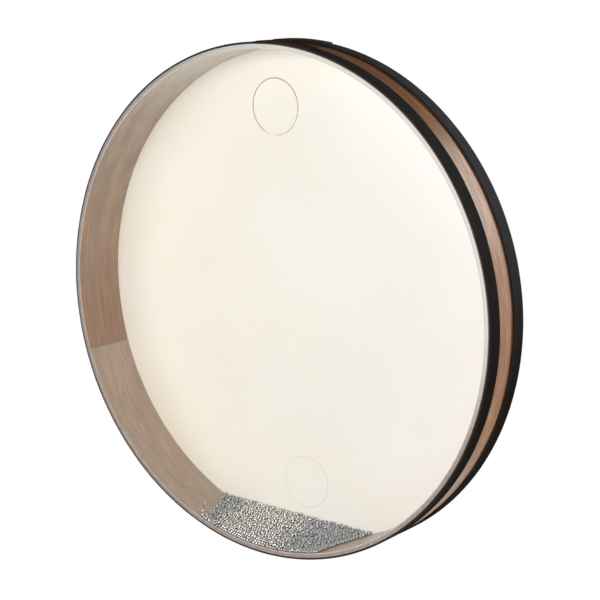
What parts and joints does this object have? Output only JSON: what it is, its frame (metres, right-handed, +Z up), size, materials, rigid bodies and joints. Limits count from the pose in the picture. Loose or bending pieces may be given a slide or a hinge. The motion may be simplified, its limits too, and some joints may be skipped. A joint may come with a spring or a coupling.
{
  "type": "ocean drum",
  "caption": "Shallow round frame drum with a clear front head and a skin rear head that hold a charge of loose steel balls, which roll round the wooden shell.",
  "frame": {"origin": "middle of the drum on its axis, halfway between the two heads", "axes": "+Y along the drum's axis from the clear front head to the skin rear head, +Z up as the drum is held, +X to the right as seen from the front"},
  "size_m": [0.5112, 0.0597, 0.5124],
  "materials": {
    "outer_wood": "satin, stained brown",
    "core_wood": "raw",
    "inner_wood": "satin, stained brown",
    "clear_film": "clear and glossy",
    "drum_skin": "smooth, matt, cream",
    "cloth_tape": "black, fine weave",
    "steel_ball": "polished"
  },
  "bodies": {
    "drum": {"outer_ply": "outer_wood", "core_ply": "core_wood", "inner_ply": "inner_wood", "front_head": "clear_film", "rear_head": "drum_skin", "front_tape": "cloth_tape", "rear_tape": "cloth_tape"},
    "charge": {"ball_bed": "steel_ball", "balls_far_left": "steel_ball", "balls_left": "steel_ball", "balls_mid_left": "steel_ball", "balls_mid_right": "steel_ball", "balls_right": "steel_ball", "balls_far_right": "steel_ball"},
    "strays": {"stray_balls": "steel_ball"}
  },
  "joints": [
    {"name": "charge_roll", "type": "hinge", "parent": "drum", "child": "charge", "pos_m": [0, 0, 0], "axis": [0, 1, 0], "continuous": true},
    {"name": "stray_roll", "type": "hinge", "parent": "charge", "child": "strays", "pos_m": [0, 0, 0], "axis": [0, 1, 0], "range_deg": [0, 310]}
  ]
}
